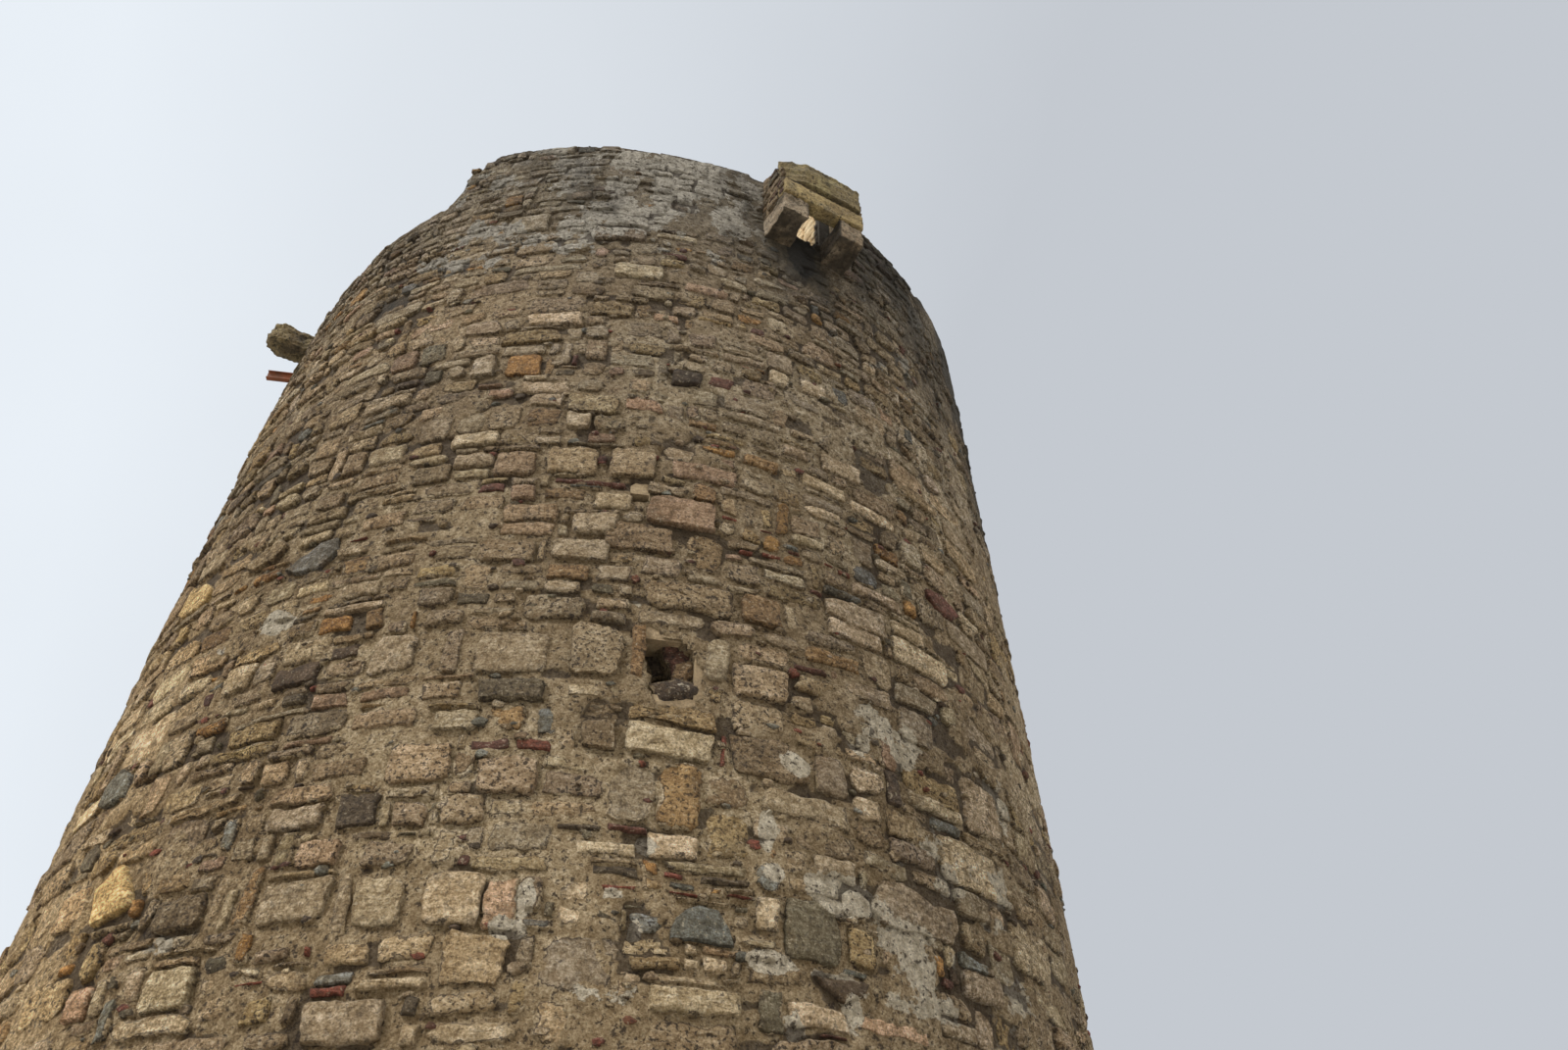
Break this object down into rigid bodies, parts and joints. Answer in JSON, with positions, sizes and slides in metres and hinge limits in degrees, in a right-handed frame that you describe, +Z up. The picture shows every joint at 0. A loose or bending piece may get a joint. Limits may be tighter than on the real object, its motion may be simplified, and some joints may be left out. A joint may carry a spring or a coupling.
{
  "type": "coastal watchtower",
  "caption": "Round leaning-walled rubble watchtower with a high doorway, a domed chamber, a roof terrace with parapet and a box machicolation.",
  "frame": {"origin": "centre of the tower's round foot, on the ground", "axes": "+Z up the tower's axis; the doorway faces -X and the side that the picture shows best faces -Y"},
  "size_m": [8.5, 8.4996, 12.16],
  "materials": {
    "rubble": "rough",
    "sandstone": "rough",
    "mortar": "rough",
    "brick": "rough",
    "rusty_iron": "rough"
  },
  "bodies": {
    "root": {"lower_mass": "rubble", "chamber_floor": "brick", "wall_front": "rubble", "wall_front_right": "rubble", "wall_right": "rubble", "wall_back_right": "rubble", "wall_back": "rubble", "wall_back_left": "rubble", "wall_front_left": "rubble", "wall_near_door": "rubble", "wall_far_door": "rubble", "wall_over_door": "rubble", "door_sill": "sandstone", "door_arch": "sandstone", "passage_vault": "brick", "dome": "brick", "haunch_front": "rubble", "haunch_right": "rubble", "haunch_back": "rubble", "haunch_left": "rubble", "drum": "rubble", "terrace_paving": "mortar", "parapet_front": "rubble", "parapet_right": "rubble", "parapet_back_right": "rubble", "parapet_back": "rubble", "parapet_back_left": "rubble", "parapet_ruined_near": "rubble", "parapet_ruined_far": "rubble", "capping_front": "mortar", "capping_right": "mortar", "capping_back_right": "mortar", "capping_back": "mortar", "capping_back_left": "mortar", "corbel_left": "sandstone", "corbel_right": "sandstone", "box_threshold": "rubble", "box_lintel": "sandstone", "box_course": "rubble", "box_top_course": "sandstone", "box_cheek_left": "rubble", "box_cheek_right": "rubble", "stub_corbel_near": "sandstone", "stub_corbel_far": "sandstone", "iron_beam": "rusty_iron"}
  },
  "joints": []
}
